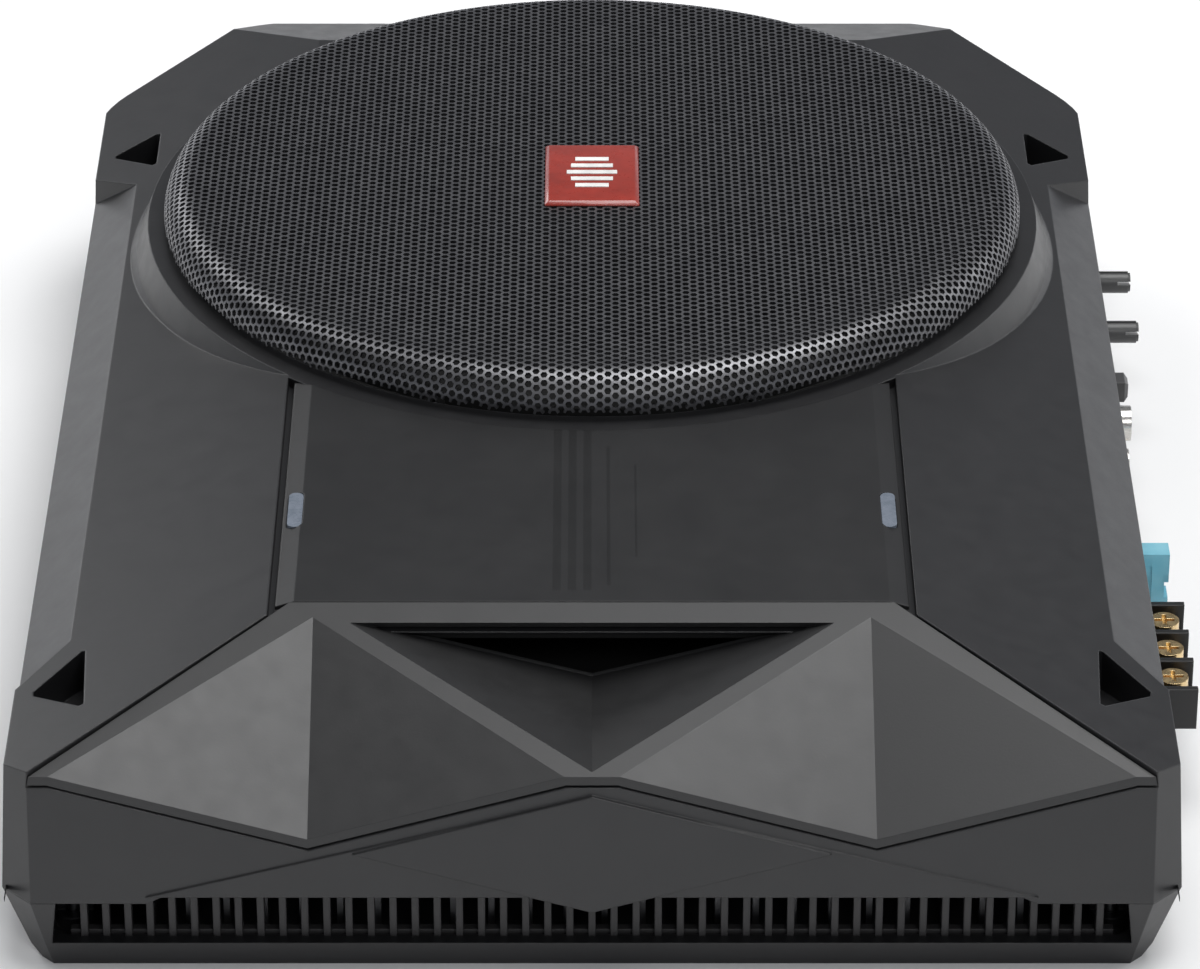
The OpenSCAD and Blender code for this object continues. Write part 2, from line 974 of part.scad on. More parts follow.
module capacitors() {
    color([0.16, 0.20, 0.34])
    for (x = [-82, -62], y = [-74, -96])
        difference() {
            rod_z([11.1, 34], 8.5, x, y);
            box([x - 6, x + 6], [y - 0.4, y + 0.4], [33.5, 35]);
        }
}

module filter_inductor() {
    color([0.70, 0.42, 0.18])
    translate([-24, -88, 16.1])
        rotate_extrude()
            translate([10, 0])
                circle(r = 5, $fn = 32);
}

module power_transformer() {
    color([0.66, 0.38, 0.16])
    translate([36, -92, 19.1])
        rotate_extrude()
            translate([17, 0])
                circle(r = 8, $fn = 32);
}

module amp_chips() {
    color([0.10, 0.10, 0.10]) {
        box([68, 82], [-110, -96], [11.1, 13.4]);
        box([70, 80], [-84, -76], [11.1, 13]);
        box([-50, -38], [-128, -116], [11.1, 13.4]);
        box([4, 14], [-128, -120], [11.1, 13]);
    }
}

module connector_panel() {
    color([0.07, 0.07, 0.07])
    difference() {
        box(panel_x, window_y, window_z);
        for (y = knob_y)
            rod_x([110, 130], 3.6, y, knob_z);
        button_hole(0.3);
        for (z = rca_z)
            rod_x([110, 130], 4.3, rca_y, z);
        box([110, 130], about(level_socket_y, 9), [15, 29]);
        box([110, 130], about(remote_socket_y, 7), [15, 28]);
        box([110, 130], about(fuse_y, 4.2), [fuse_z[0] - 0.9, fuse_z[1] + 0.9]);
        for (i = [-1:1])
            box([110, 130], about(terminal_y + i * terminal_pitch, 3.4), [24, 26.2]);
    }
}

module button_hole(g) {
    half = 2.6 + g;
    box([110, 130], about(button_y, half), about(knob_z - 2, half));
}

module control_board() {
    color([0.05, 0.28, 0.14])
    box([board_face_x - 1.5, board_face_x], [-48, 90], [8, 35]);
}

module control_harness() {
    color([0.75, 0.75, 0.72])
    for (i = [0:3]) {
        rod_z([11.1, 19], 0.55, 92, -50.4 - 1.5 * i);
        translate([92, -50.4 - 1.5 * i, 19])
            sphere(r = 0.55, $fn = 24);
        rod_y([-50.4 - 1.5 * i, -34 + 1.5 * i], 0.55, 92, 19);
        translate([92, -34 + 1.5 * i, 19])
            sphere(r = 0.55, $fn = 24);
        rod_x([92, board_face_x - 1.5], 0.55, -34 + 1.5 * i, 19);
    }
}

module potentiometers() {
    color([0.25, 0.32, 0.28])
    for (y = knob_y)
        difference() {
            union() {
                box([board_face_x, 116], about(y, 5), about(knob_z, 5.5));
                rod_x([116, 122.3], 3.5, y, knob_z);
            }
            rod_x([110, 125], 1.55, y, knob_z);
        }
}

// A slim round knob on its shaft, with a pointer groove and a slot across its end.
module knob(y) {
    color([0.10, 0.10, 0.10])
    difference() {
        union() {
            rod_x([111, 123], 1.5, y, knob_z);
            rod_x([122.8, knob_reach - 0.5], knob_r, y, knob_z);
            rod_x([knob_reach - 0.6, knob_reach], knob_r - 0.4, y, knob_z);
        }
        translate([0, y, knob_z]) {
            box([124, 140], [-0.35, 0.35], [knob_r - 0.6, knob_r + 1]);
            rotate([-20, 0, 0])
                box([knob_reach - 3.2, 140], [-5, 5], [-0.4, 0.4]);
        }
    }
}

module level_knob() {
    knob(knob_y[0]);
}

module crossover_knob() {
    knob(knob_y[1]);
}

module phase_switch() {
    color([0.14, 0.14, 0.14])
    difference() {
        box([board_face_x, 114.6], about(button_y, 4.5), about(knob_z - 2, 4.5));
        rod_x([109, 116], 1.05, button_y, knob_z - 2);
    }
}

module phase_button() {
    z = knob_z - 2;
    color([0.09, 0.09, 0.09]) {
        rod_x([111.6, 117.5], 1, button_y, z);
        intersection() {
            box([117, 127.9], about(button_y, 2.6), about(z, 2.6));
            sweep_y(2 * body_len)
                translate([0, z])
                    polygon([[110, -2.6], [127, -2.6], [127.9, -1.6], [127.9, 1.6], [127, 2.6], [110, 2.6]]);
            linear_extrude(60)
                translate([0, button_y])
                    polygon([[110, -2.6], [127, -2.6], [127.9, -1.6], [127.9, 1.6], [127, 2.6], [110, 2.6]]);
        }
    }
}

module rca_body() {
    color([0.85, 0.85, 0.82])
    difference() {
        union() {
            box([board_face_x, panel_x[0]], about(rca_y, 5.5), [11.4, 33.4]);
            for (z = rca_z)
                rod_x([panel_x[0], 125.6], 3.2, rca_y, z);
        }
        for (z = rca_z)
            rod_x([112, 130], 1.7, rca_y, z);
    }
}

module rca_shells() {
    color([0.80, 0.78, 0.70])
    for (z = rca_z)
        difference() {
            rod_x([panel_x[1], 126.6], 4.15, rca_y, z);
            rod_x([110, 130], 3.25, rca_y, z);
        }
}

// A rectangular socket with contact pins. half is its half size, pins the pin places.
module socket(y, z, half, pins) {
    difference() {
        box([board_face_x, panel_x[1]], about(y, half), z);
        box([110, 125], about(y, half - 1.6), [z[0] + 1.6, z[1] - 1.6]);
    }
    for (p = pins)
        box([109, 117], about(y + p, 0.5), about((z[0] + z[1]) / 2, 0.5));
}

module speaker_level_socket() {
    color([0.86, 0.86, 0.84])
    socket(level_socket_y, [15, 29], 9, [-4.5, -1.5, 1.5, 4.5]);
}

module remote_socket() {
    color([0.10, 0.10, 0.10])
    socket(remote_socket_y, [15, 28], 7, [-3, -1, 1, 3]);
}

module fuse_holder() {
    color([0.08, 0.08, 0.08])
    difference() {
        box([107, 121.4], about(fuse_y, 4.2), [fuse_z[0] - 0.9, fuse_z[1] + 0.9]);
        box([118.6, 125], about(fuse_y, 3), [fuse_z[0] - 0.35, fuse_z[1] + 0.35]);
        fuse_blades(0.35, 107.8);
    }
}

// The two flat blades of the fuse, grown by g, from x0 on.
module fuse_blades(g, x0) {
    for (z = [fuse_z[0] + 1.4, fuse_z[1] - 6.6])
        box([x0, 120], about(fuse_y, 0.35 + g), [z - g, z + 5.2 + g]);
}

module blade_fuse() {
    mid = (fuse_z[0] + fuse_z[1]) / 2;
    color([0.25, 0.62, 0.80]) {
        difference() {
            box([119, 129.4], about(fuse_y, 2.6), fuse_z);
            box([128.4, 131], about(fuse_y, 3), [mid - 2, mid + 2]);
            for (s = [-1, 1])
                translate([0, fuse_y + s * 2.6, 0])
                    box([121, 125.6], [-0.7, 0.7], [mid - 6, mid + 6]);
        }
        fuse_blades(0, 109);
    }
}

module terminal_block() {
    span = 1.5 * terminal_pitch + barrier_t / 2;
    color([0.06, 0.06, 0.06])
    difference() {
        box([panel_x[1], terminal_reach], about(terminal_y, span), [20, terminal_top_z]);
        for (i = [-1:1]) {
            y = terminal_y + i * terminal_pitch;
            half = (terminal_pitch - barrier_t) / 2;
            box([122.4, 140], about(y, half), [25, 40]);
            box([130.6, 140], about(y, half), [22.5, 40]);
            box([110, 123], about(y, 3.4), [24, 26.2]);
            box([122, 131], about(y, 3.4), [24, 26]);
            rod_z([19, 26], 2.2, terminal_x, y);
        }
    }
}

module terminal_contacts() {
    color([0.80, 0.66, 0.30])
    for (i = [-1:1]) {
        y = terminal_y + i * terminal_pitch;
        difference() {
            union() {
                box([101, 130.4], about(y, 3.3), [24.1, 25.9]);
                box([101, 102.4], about(y, 1.5), [11.1, 24.1]);
            }
            rod_z([19, 30], 1.65, terminal_x, y);
        }
    }
}

module terminal_clamp(i) {
    y = terminal_y + i * terminal_pitch;
    color([0.82, 0.70, 0.38])
    difference() {
        box(about(terminal_x, 3.4), about(y, 3.9), [26.3, 27.1]);
        rod_z([19, 30], 1.65, terminal_x, y);
    }
}

module terminal_screw(i) {
    y = terminal_y + i * terminal_pitch;
    color([0.84, 0.68, 0.36])
    difference() {
        union() {
            rod_z([20.6, 27.5], 1.6, terminal_x, y);
            rod_z([27.4, 29.4], 3.3, terminal_x, y);
        }
        box(about(terminal_x, 2.2), about(y, 0.45), [28.3, 30]);
        box(about(terminal_x, 0.45), about(y, 2.2), [28.3, 30]);
    }
}

module terminal_clamp_1() { terminal_clamp(1); }
module terminal_clamp_2() { terminal_clamp(0); }
module terminal_clamp_3() { terminal_clamp(-1); }
module terminal_screw_1() { terminal_screw(1); }
module terminal_screw_2() { terminal_screw(0); }
module terminal_screw_3() { terminal_screw(-1); }

top_housing();
centre_panel();
front_facet_bezel();
base_housing();
vent_comb();
grille();
badge_plate();
badge_mark();
indicator_lenses();
indicator_leds();
bass_port_duct();
seam_gasket();
foot_pads();
case_screws();
driver_basket();
driver_gasket();
driver_screws();
magnet_ring();
top_plate();
pole_yoke();
cone();
dust_cap();
voice_coil();
surround();
spider();
driver_terminals();
speaker_leads();
amp_board();
board_standoffs();
board_screws();
heat_sink();
transistors();
capacitors();
filter_inductor();
power_transformer();
amp_chips();
connector_panel();
control_board();
control_harness();
potentiometers();
level_knob();
crossover_knob();
phase_switch();
phase_button();
rca_body();
rca_shells();
speaker_level_socket();
remote_socket();
fuse_holder();
blade_fuse();
terminal_block();
terminal_contacts();
terminal_clamp_1();
terminal_clamp_2();
terminal_clamp_3();
terminal_screw_1();
terminal_screw_2();
terminal_screw_3();
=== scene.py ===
import json
import math

import bmesh
import bpy
import numpy as np
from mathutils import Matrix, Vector


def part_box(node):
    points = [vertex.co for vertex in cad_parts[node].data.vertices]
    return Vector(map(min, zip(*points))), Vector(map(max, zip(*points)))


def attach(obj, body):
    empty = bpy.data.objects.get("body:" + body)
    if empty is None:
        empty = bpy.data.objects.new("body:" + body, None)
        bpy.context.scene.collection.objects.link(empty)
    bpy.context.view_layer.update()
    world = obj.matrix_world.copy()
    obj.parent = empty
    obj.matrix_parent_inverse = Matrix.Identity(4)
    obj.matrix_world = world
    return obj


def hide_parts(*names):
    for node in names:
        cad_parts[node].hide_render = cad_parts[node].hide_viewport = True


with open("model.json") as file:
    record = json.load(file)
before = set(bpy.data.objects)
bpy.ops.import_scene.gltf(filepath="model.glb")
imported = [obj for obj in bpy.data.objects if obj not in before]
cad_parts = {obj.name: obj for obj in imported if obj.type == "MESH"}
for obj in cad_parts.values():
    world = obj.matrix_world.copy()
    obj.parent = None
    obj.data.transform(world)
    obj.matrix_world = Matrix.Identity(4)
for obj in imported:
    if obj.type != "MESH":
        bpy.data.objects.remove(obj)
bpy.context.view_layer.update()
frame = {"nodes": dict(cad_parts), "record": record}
NODES = frame["nodes"]
BODY_OF = {n: b for b, ns in frame["record"]["behaviour"]["bodies"].items() for n in ns}
SLOT_OF = {p["node"]: p["material_slot"] for p in frame["record"]["subparts"]}
MM = 0.001

# ---------------------------------------------------------------- materials


class Shader:
    """A small builder of node materials round one Principled shader."""

    def __init__(self, name):
        self.material = bpy.data.materials.new(name)
        self.material.use_nodes = True
        self.tree = self.material.node_tree
        self.tree.nodes.clear()
        self.out = self.node("ShaderNodeOutputMaterial")
        self.bsdf = self.node("ShaderNodeBsdfPrincipled")
        self.link(self.bsdf.outputs[0], self.out.inputs[0])
        self.coords = self.node("ShaderNodeTexCoord").outputs["Object"]
        self.axes = None

    def node(self, kind, **values):
        n = self.tree.nodes.new(kind)
        for k, v in values.items():
            setattr(n, k, v)
        return n

    def link(self, a, b):
        self.tree.links.new(a, b)

    def set(self, **values):
        for k, v in values.items():
            self.bsdf.inputs[k.replace("_", " ")].default_value = v
        return self

    def noise(self, scale, detail=3.0, rough=0.5, stretch=None):
        n = self.node("ShaderNodeTexNoise")
        n.inputs["Scale"].default_value = scale
        n.inputs["Detail"].default_value = detail
        n.inputs["Roughness"].default_value = rough
        source = self.coords
        if stretch:
            m = self.node("ShaderNodeMapping")
            m.inputs["Scale"].default_value = stretch
            self.link(source, m.inputs["Vector"])
            source = m.outputs[0]
        self.link(source, n.inputs["Vector"])
        return n.outputs["Fac"]

    def cells(self, scale):
        n = self.node("ShaderNodeTexVoronoi")
        n.inputs["Scale"].default_value = scale
        self.link(self.coords, n.inputs["Vector"])
        return n.outputs["Distance"]

    def span(self, value, low, high, lo=0.3, hi=0.7):
        """Maps value from lo..hi to low..high."""
        n = self.node("ShaderNodeMapRange")
        for socket, v in (("From Min", lo), ("From Max", hi), ("To Min", low), ("To Max", high)):
            n.inputs[socket].default_value = v
        self.link(value, n.inputs["Value"])
        return n.outputs[0]

    def blend(self, factor, a, b):
        """A mix of two colours, each given as a tuple or as a socket."""
        n = self.node("ShaderNodeMix", data_type="RGBA")
        for socket, value in ((n.inputs[6], a), (n.inputs[7], b)):
            if isinstance(value, tuple):
                socket.default_value = (*value, 1)
            else:
                self.link(value, socket)
        self.link(factor, n.inputs[0])
        return n.outputs[2]

    def math(self, operation, a, b, c=0.0):
        """A math node, each of whose inputs is a number or a socket."""
        n = self.node("ShaderNodeMath", operation=operation)
        for socket, value in zip(n.inputs, (a, b, c)):
            if isinstance(value, float):
                socket.default_value = value
            else:
                self.link(value, socket)
        return n.outputs[0]

    def stripe(self, x, width, y, length):
        """1 inside a stripe along y round the place x, y in mm, seen from above."""
        if not self.axes:
            n = self.node("ShaderNodeSeparateXYZ")
            self.link(self.coords, n.inputs[0])
            self.axes = n.outputs
        across = self.math("COMPARE", self.axes[0], x * MM, width / 2 * MM)
        along = self.math("COMPARE", self.axes[1], y * MM, length / 2 * MM)
        return self.math("MULTIPLY", across, along)

    def color(self, factor, a, b):
        self.link(self.blend(factor, a, b), self.bsdf.inputs["Base Color"])

    def rough(self, value):
        self.link(value, self.bsdf.inputs["Roughness"])

    def edge(self, radius):
        """Rounds the look of every edge by radius mm, as a mould or a plating leaves it."""
        n = self.node("ShaderNodeBevel")
        n.samples = 6
        n.inputs["Radius"].default_value = radius * MM
        self.link(n.outputs[0], self.bsdf.inputs["Normal"])

    def bump(self, height, strength, distance):
        n = self.node("ShaderNodeBump")
        n.inputs["Strength"].default_value = strength
        n.inputs["Distance"].default_value = distance
        self.link(height, n.inputs["Height"])
        if self.bsdf.inputs["Normal"].links:
            self.link(self.bsdf.inputs["Normal"].links[0].from_socket, n.inputs["Normal"])
        self.link(n.outputs[0], self.bsdf.inputs["Normal"])


def shade(color, k):
    """The colour made k times as bright."""
    return tuple(min(1.0, c * k) for c in color)


def moulded(name, color, rough=0.42, grain=2600, depth=0.02, sheen=0.5, edge=0.5):
    """Moulded plastic: a fine spark texture depth mm deep, faint cloudiness and rubbed,
    slightly glossier patches."""
    s = Shader(name)
    s.edge(edge)
    cloud = s.noise(28, 4, 0.6)
    fine = s.noise(grain, 2, 0.6)
    s.color(s.span(cloud, 0, 1), shade(color, 0.93), shade(color, 1.07))
    s.rough(s.span(s.noise(160, 5, 0.65), rough - 0.03, rough + 0.04))
    s.bump(fine, 0.35, depth * MM)
    s.set(Specular_IOR_Level=sheen)
    return s.material


def painted(name, color, rough=0.35, coat=0.0, orange_peel=900):
    """Powder coat or enamel over metal."""
    s = Shader(name)
    s.color(s.span(s.noise(180, 4, 0.6), 0, 1), shade(color, 0.82), shade(color, 1.15))
    s.rough(s.span(s.noise(420, 3, 0.6), rough - 0.06, rough + 0.08))
    s.bump(s.noise(orange_peel, 2, 0.5), 0.25, 0.02 * MM)
    s.set(Coat_Weight=coat, Coat_Roughness=0.08)
    return s.material


def metal(name, color, rough=0.3, stretch=(1, 1, 30), scale=500, tarnish=0.8):
    """Plated or machined metal with fine tool lines."""
    s = Shader(name)
    s.edge(0.2)
    s.color(s.span(s.noise(240, 4, 0.6), 0, 1), shade(color, tarnish), color)
    s.rough(s.span(s.noise(scale, 3, 0.6, stretch), rough - 0.08, rough + 0.12))
    s.bump(s.noise(scale * 2, 2, 0.5, stretch), 0.15, 0.01 * MM)
    s.set(Metallic=1.0)
    return s.material


def rubbery(name, color, rough=0.75, grain=1500):
    """Rubber or foam: dull and pebbled."""
    s = Shader(name)
    s.color(s.span(s.noise(90, 4, 0.6), 0, 1), shade(color, 0.8), shade(color, 1.3))
    s.rough(s.span(s.noise(200, 3, 0.6), rough - 0.1, rough + 0.1))
    s.bump(s.cells(grain), 0.3, 0.05 * MM)
    s.set(Specular_IOR_Level=0.35)
    return s.material


# Place across the panel, width, place along it and length of each printed stripe, in mm
PANEL_STRIPES = (
    (-7.6, 1.8, -87, 70),
    (-4.3, 1.8, -87, 70),
    (-1.0, 1.8, -87, 70),
    (3.6, 0.8, -90, 60),
    (9.6, 0.5, -88, 40),
)
STRIPE_INK = (0.005, 0.005, 0.0052)

MATERIALS = {
    "case_plastic": moulded("case_plastic", (0.0115, 0.0115, 0.0125), 0.38, sheen=0.62),
    "facet_plastic": moulded("facet_plastic", (0.017, 0.017, 0.0175), 0.38, 1900, 0.03, 0.56, 0.15),
    "vent_plastic": moulded("vent_plastic", (0.030, 0.029, 0.030), 0.5),
    # The port duct is coloured darker than the case plastic: painted shade, so the inside of the
    # port reads as plain black
    "port_plastic": moulded("port_plastic", (0.006, 0.006, 0.006), 0.7, sheen=0.3),
    "badge_red": painted("badge_red", (0.30, 0.026, 0.014), 0.30, 0.6, 500),
    "badge_white": painted("badge_white", (0.80, 0.80, 0.78), 0.35),
    "basket_steel": painted("basket_steel", (0.012, 0.012, 0.012), 0.5),
    "foam_rubber": rubbery("foam_rubber", (0.012, 0.012, 0.012), 0.9),
    "foot_rubber": rubbery("foot_rubber", (0.022, 0.022, 0.022), 0.8),
    "surround_rubber": rubbery("surround_rubber", (0.010, 0.010, 0.010), 0.7),
    "zinc_screw": metal("zinc_screw", (0.55, 0.55, 0.56), 0.34),
    "black_screw": metal("black_screw", (0.03, 0.03, 0.03), 0.45),
    "plated_steel": metal("plated_steel", (0.5, 0.5, 0.5), 0.38),
    "ferrite": moulded("ferrite", (0.045, 0.045, 0.05), 0.7, 800, 0.06),
    "brass_standoff": metal("brass_standoff", (0.65, 0.47, 0.18), 0.3),
    "heat_sink_alloy": metal("heat_sink_alloy", (0.26, 0.26, 0.27), 0.45),
    "copper_winding": metal("copper_winding", (0.62, 0.26, 0.09), 0.35, (30, 30, 1)),
    "coil_copper": metal("coil_copper", (0.62, 0.28, 0.10), 0.35, (1, 1, 60)),
    "jack_metal": metal("jack_metal", (0.72, 0.70, 0.66), 0.22),
    "gold_plate": metal("gold_plate", (0.80, 0.58, 0.28), 0.30),
    "gold_screw": metal("gold_screw", (0.83, 0.62, 0.33), 0.26),
    "potentiometer_body": metal("potentiometer_body", (0.4, 0.42, 0.4), 0.4),
    "knob_plastic": moulded("knob_plastic", (0.060, 0.060, 0.061), 0.36),
    "connector_plastic": moulded("connector_plastic", (0.016, 0.016, 0.016), 0.42),
    "terminal_plastic": moulded("terminal_plastic", (0.012, 0.012, 0.012), 0.36),
    "socket_plastic": moulded("socket_plastic", (0.66, 0.66, 0.63), 0.4),
    "jack_plastic": moulded("jack_plastic", (0.62, 0.62, 0.6), 0.35),
    "chip_plastic": moulded("chip_plastic", (0.018, 0.018, 0.018), 0.5),
    "cone_pulp": moulded("cone_pulp", (0.018, 0.018, 0.02), 0.7, 700, 0.1),
    "capacitor_sleeve": painted("capacitor_sleeve", (0.03, 0.05, 0.16), 0.3),
    "lead_wire": painted("lead_wire", (0.35, 0.02, 0.015), 0.4),
    "harness_wire": painted("harness_wire", (0.5, 0.5, 0.48), 0.4),
    "fibre_board": moulded("fibre_board", (0.2, 0.13, 0.06), 0.6),
    "circuit_board": painted("circuit_board", (0.012, 0.10, 0.04), 0.35),
    "led_body": painted("led_body", (0.6, 0.6, 0.62), 0.2),
}


def lens_material():
    """Pale smoked plastic over the indicator lights."""
    s = Shader("lens")
    s.color(s.span(s.noise(400, 3), 0, 1), (0.13, 0.155, 0.19), (0.18, 0.205, 0.25))
    s.rough(s.span(s.noise(900, 2), 0.22, 0.34))
    s.bump(s.noise(2200, 2), 0.15, 0.01 * MM)
    s.set(Coat_Weight=0.4, Coat_Roughness=0.1)
    return s.material


def fuse_material():
    """The blade fuse's clear blue plastic."""
    s = Shader("fuse_blue")
    s.color(s.span(s.noise(160, 3), 0, 1), (0.26, 0.68, 0.84), (0.38, 0.79, 0.92))
    s.rough(s.span(s.noise(500, 2), 0.10, 0.22))
    s.bump(s.noise(700, 2), 0.1, 0.02 * MM)
    s.set(Transmission_Weight=0.4, IOR=1.46)
    return s.material


def weave_material():
    """The woven, resin-stiffened cloth of the driver's spider."""
    s = Shader("spider_cloth")
    wave = s.node("ShaderNodeTexWave", wave_type="BANDS", bands_direction="X")
    wave.inputs["Scale"].default_value = 400
    s.link(s.coords, wave.inputs["Vector"])
    s.color(s.span(s.noise(120, 3), 0, 1), (0.30, 0.20, 0.08), (0.42, 0.30, 0.13))
    s.rough(s.span(s.noise(300, 2), 0.7, 0.9))
    s.bump(wave.outputs["Fac"], 0.4, 0.1 * MM)
    return s.material


def grille_material():
    """Black-coated steel, glossier than the plastic round it."""
    s = Shader("grille_steel")
    s.color(s.span(s.noise(180, 4, 0.6), 0, 1), (0.15, 0.15, 0.158), (0.19, 0.19, 0.198))
    s.rough(s.span(s.noise(420, 3, 0.6), 0.38, 0.48))
    s.bump(s.noise(900, 2), 0.2, 0.02 * MM)
    s.set(Metallic=1.0)
    return s.material


def panel_material():
    """The case plastic, with a plain printed stripe pattern in black."""
    s = Shader("panel_plastic")
    s.edge(0.5)
    ink = 0.0
    for stripe in PANEL_STRIPES:
        ink = s.math("MAXIMUM", ink, s.stripe(*stripe))
    cloud = s.span(s.noise(28, 4, 0.6), 0, 1)
    bare = s.blend(cloud, (0.0108, 0.0108, 0.0113), (0.0124, 0.0124, 0.0129))
    s.color(ink, bare, STRIPE_INK)
    s.rough(s.span(s.noise(60, 5, 0.65), 0.38, 0.47))
    s.bump(s.noise(2600, 2, 0.6), 0.35, 0.02 * MM)
    return s.material


MATERIALS["grille_steel"] = grille_material()
MATERIALS["panel_plastic"] = panel_material()
MATERIALS["lens"] = lens_material()
MATERIALS["fuse_blue"] = fuse_material()
MATERIALS["spider_cloth"] = weave_material()

for name, node in NODES.items():
    node.data.materials.clear()
    node.data.materials.append(MATERIALS[SLOT_OF[name]])

# ---------------------------------------------------------------- pieces


def add_piece(name, mesh, node):
    """A finished mesh that stands for a CAD node."""
    piece = bpy.data.objects.new(name, mesh)
    bpy.context.scene.collection.objects.link(piece)
    slot = SLOT_OF[node]
    mesh.materials.clear()
    mesh.materials.append(MATERIALS[slot])
    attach(piece, BODY_OF[node])
    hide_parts(node)
    return piece


def smooth_by_angle(mesh, degrees):
    """Shades the mesh smooth, but for edges that bend by degrees or more."""
    bm = bmesh.new()
    bm.from_mesh(mesh)
    limit = math.radians(degrees)
    for f in bm.faces:
        f.smooth = True
    for e in bm.edges:
        if len(e.link_faces) == 2:
            e.smooth = e.calc_face_angle(0) < limit
    bm.to_mesh(mesh)
    bm.free()


def rounded_copy(node, name, width, segments=3, angle=20, flatness=0.6):
    """A node's solid with every edge sharper than angle rounded over width mm, as a piece of
    its own. Faces within flatness degrees of each other are joined first."""
    bm = bmesh.new()
    bm.from_mesh(NODES[node].data)
    bmesh.ops.remove_doubles(bm, verts=bm.verts, dist=0.002 * MM)
    bmesh.ops.dissolve_limit(
        bm, angle_limit=math.radians(flatness), use_dissolve_boundaries=False,
        verts=bm.verts, edges=bm.edges)
    limit = math.radians(angle)
    edges = [e for e in bm.edges if e.calc_face_angle(0) > limit]
    bmesh.ops.bevel(
        bm, geom=edges, offset=width * MM, segments=segments, profile=0.5, affect="EDGES")
    mesh = bpy.data.meshes.new(name)
    bm.to_mesh(mesh)
    bm.free()
    smooth_by_angle(mesh, 32)
    return add_piece(name, mesh, node)


rounded_copy("badge_plate", "badge", 0.25)

# The grille, in mm: the radius and straight skirt of its rim, the thickness of the steel, the
# spacing and half width of its holes, and where its middle sheet meets its rim sheet
GRILLE_RIM = 8.0
GRILLE_SKIRT = 0.9
GRILLE_GAUGE = 0.8
HOLE_PITCH = 2.08
HOLE_HALF_WIDTH = 0.74
GRILLE_JOIN = 80


def honeycomb(reach):
    """The corners of hexagonal holes out to reach mm from the middle, and the flat faces of the
    metal between them."""
    step = HOLE_PITCH * math.sqrt(3) / 2
    rows = int(reach / step) + 3
    corner = HOLE_HALF_WIDTH / math.cos(math.pi / 6)
    turns = [(math.cos(math.pi / 3 * k), math.sin(math.pi / 3 * k)) for k in range(6)]
    index, points, faces = {}, [], []
    for i in range(-rows, rows + 1):
        for j in range(-rows, rows + 1):
            x, y = i * step, (j + 0.5 * (i % 2)) * HOLE_PITCH
            if math.hypot(x, y) < reach:
                index[i, j] = len(points)
                points.extend((x + corner * c, y + corner * s) for c, s in turns)

    def beside(i, j, k):
        """The first corner of the hole across side k, where there is one."""
        odd = i % 2
        di, dj = ((1, odd), (0, 1), (-1, odd), (-1, odd - 1), (0, -1), (1, odd - 1))[k]
        return index.get((i + di, j + dj))

    for (i, j), a in index.items():
        for k in range(3):
            b = beside(i, j, k)
            if b is not None:
                faces.append((a + k, b + (k + 4) % 6, b + (k + 3) % 6, a + (k + 1) % 6))
        for k in (0, 1):
            b, c = beside(i, j, k), beside(i, j, (k + 5) % 6)
            if b is not None and c is not None:
                faces.append((a + k, c + (k + 2) % 6, b + (k + 4) % 6))
    return np.array(points), faces


def perforated_sheet(name, low, high):
    """Part of the grille: a sheet with hexagonal holes, pressed over a rounded rim.
    It takes the faces from low to high mm from the middle, measured along the sheet."""
    box_low, box_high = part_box("grille")
    centre = (box_low + box_high) / 2 / MM
    top = box_high.z / MM
    bend_start = (box_high.x - box_low.x) / 2 / MM - GRILLE_RIM
    bend_end = bend_start + GRILLE_RIM * math.pi / 2
    flat, faces = honeycomb(bend_end + GRILLE_SKIRT)
    kept = [f for f in faces if low <= math.hypot(*flat[list(f)].mean(0)) < high]

    # Each point is laid on the flat middle, round the bend of the rim or down its skirt
    s = np.hypot(flat[:, 0], flat[:, 1])
    away = flat / np.maximum(s, 1e-9)[:, None]
    lean = np.clip((s - bend_start) / GRILLE_RIM, 0, math.pi / 2)
    r = np.minimum(s, bend_start) + GRILLE_RIM * np.sin(lean)
    z = top - GRILLE_RIM * (1 - np.cos(lean)) - np.maximum(s - bend_end, 0)
    outer = np.c_[away * r[:, None], z]
    normal = np.c_[away * np.sin(lean)[:, None], np.cos(lean)]
    inner = outer - GRILLE_GAUGE * normal
    xyz = (np.r_[outer, inner] + [centre.x, centre.y, 0]) * MM

    # The sheet has an outer skin, an inner skin and a wall along every open edge
    n = len(flat)
    sides = [side for f in kept for side in zip(f, f[1:] + f[:1])]
    taken = set(sides)
    solid = kept + [tuple(v + n for v in reversed(f)) for f in kept]
    solid += [(b, a, a + n, b + n) for a, b in sides if (b, a) not in taken]
    used = sorted({v for f in solid for v in f})
    number = {v: i for i, v in enumerate(used)}
    mesh = bpy.data.meshes.new(name)
    mesh.from_pydata(xyz[used].tolist(), [], [[number[v] for v in f] for f in solid])
    mesh.update()
    smooth_by_angle(mesh, 30)
    return add_piece(name, mesh, "grille")


perforated_sheet("grille_sheet_middle", 0, GRILLE_JOIN)
perforated_sheet("grille_sheet_rim", GRILLE_JOIN, math.inf)

# ---------------------------------------------------------------- stage


def floor_mesh(name, reach=3.0, squares=40):
    """A flat floor, reach metres each way from the middle."""
    marks = [-reach + 2 * reach * i / squares for i in range(squares + 1)]
    row = squares + 1
    corners = [j * row + i for j in range(squares) for i in range(squares)]
    mesh = bpy.data.meshes.new(name)
    mesh.from_pydata(
        [(x, y, 0.0) for y in marks for x in marks], [],
        [(a, a + 1, a + row + 1, a + row) for a in corners])
    return mesh


def paper_material():
    """Pale, faintly uneven paper."""
    s = Shader("floor_paper")
    s.color(s.span(s.noise(6, 3), 0, 1), (0.88, 0.88, 0.88), (0.91, 0.91, 0.91))
    s.rough(s.span(s.noise(40, 3), 0.8, 0.9))
    s.set(Specular_IOR_Level=0.1)
    return s.material


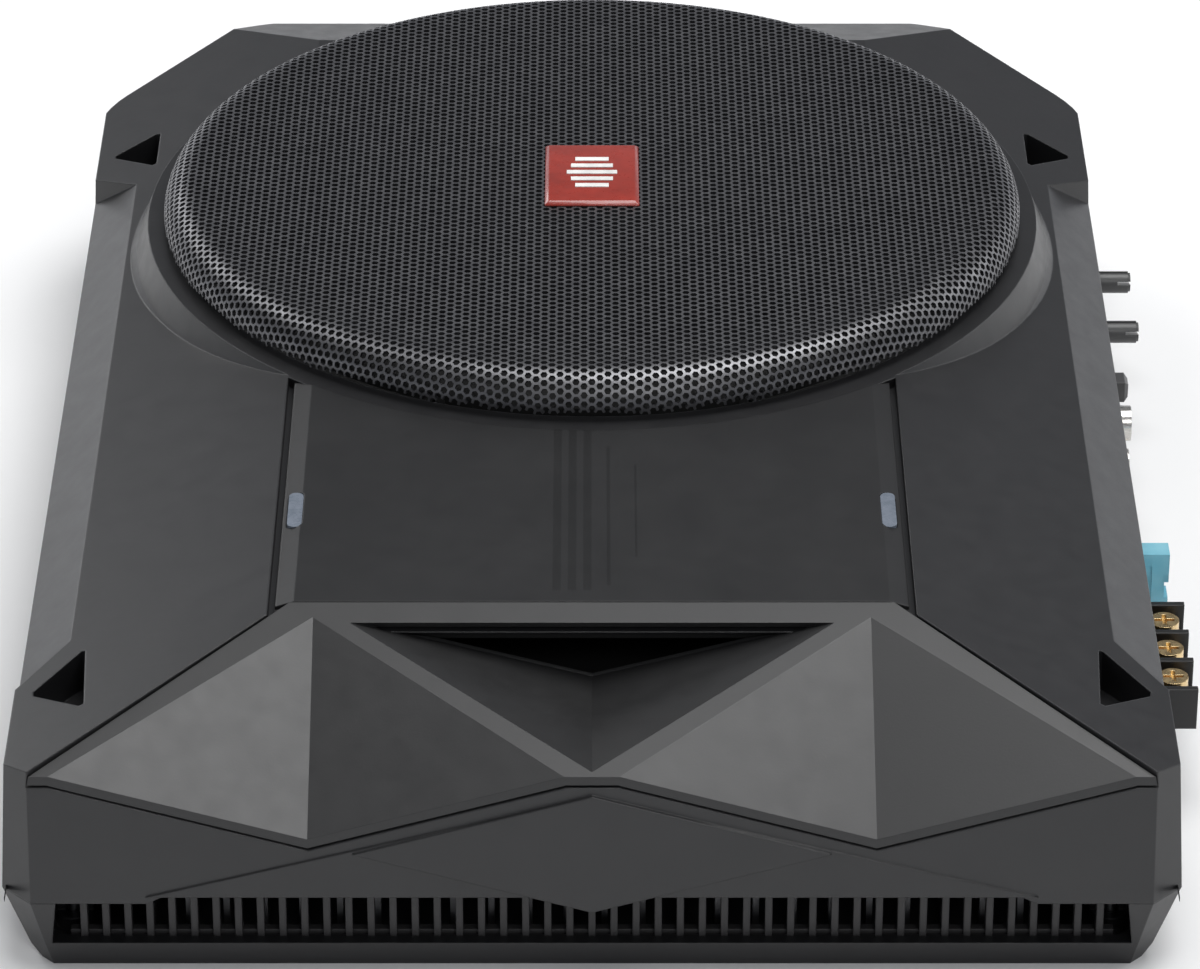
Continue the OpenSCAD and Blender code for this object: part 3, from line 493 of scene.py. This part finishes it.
floor = bpy.data.objects.new("floor", floor_mesh("floor"))
floor.data.materials.append(paper_material())
bpy.context.scene.collection.objects.link(floor)

# The camera looks down on the front from a little above, through a long lens
CAMERA_PLACE = (0, -1.211, 0.7164)
CAMERA_TILT = 59.9
CAMERA_LENS = 178.2
CAMERA_SHIFT = 0.0067

camera_data = bpy.data.cameras.new("camera")
camera_data.sensor_width = 36
camera_data.lens = CAMERA_LENS
camera_data.shift_x = CAMERA_SHIFT
camera_data.clip_end = 20
camera = bpy.data.objects.new("camera", camera_data)
camera.location = CAMERA_PLACE
camera.rotation_euler = (math.radians(CAMERA_TILT), 0, 0)
bpy.context.scene.collection.objects.link(camera)
bpy.context.scene.camera = camera

# Each soft light's place, the place it points at and its size, in metres, and its power in watts
SOFTBOXES = {
    "overhead_box": ((0.43, 0.18, 1.9), (0.1, 0.0, 0.0), (1.05, 1.6), 32),
    "front_top_box": ((0.5, -1.9, 1.7), (0, 0, 0), (0.9, 0.7), 9),
    "left_top_box": ((-1.35, 0.9, 1.7), (0, 0, 0), (0.8, 0.8), 9),
    "left_back_box": ((-1.5, 1.9, 1.0), (0, 0, 0), (0.9, 0.9), 9),
    "right_box": ((2.0, 0.9, 0.9), (0, 0, 0), (0.8, 0.8), 8),
}

for name, (place, target, size, power) in SOFTBOXES.items():
    data = bpy.data.lights.new(name, "AREA")
    data.shape = "RECTANGLE"
    data.size, data.size_y = size
    data.energy = power
    light = bpy.data.objects.new(name, data)
    light.location = place
    light.rotation_euler = (Vector(target) - Vector(place)).to_track_quat("-Z", "Y").to_euler()
    bpy.context.scene.collection.objects.link(light)

# The walls of the studio are bright at the horizon and fade to dim at GLOW_TOP
GLOW_TOP = 0.25
GLOW_LOW = 1.0
GLOW_HIGH = 0.20

world = bpy.data.worlds.new("studio")
world.use_nodes = True
bpy.context.scene.world = world
tree = world.node_tree
background = tree.nodes["Background"]
background.inputs["Color"].default_value = (0.9, 0.93, 1.0, 1)
sky = tree.nodes.new("ShaderNodeTexCoord").outputs["Generated"]
axes = tree.nodes.new("ShaderNodeSeparateXYZ")
fade = tree.nodes.new("ShaderNodeMapRange")
tree.links.new(sky, axes.inputs[0])
tree.links.new(axes.outputs[2], fade.inputs["Value"])
fade.inputs["From Max"].default_value = GLOW_TOP
fade.inputs["To Min"].default_value = GLOW_LOW
fade.inputs["To Max"].default_value = GLOW_HIGH
tree.links.new(fade.outputs[0], background.inputs["Strength"])

bpy.context.scene.view_settings.view_transform = "Standard"
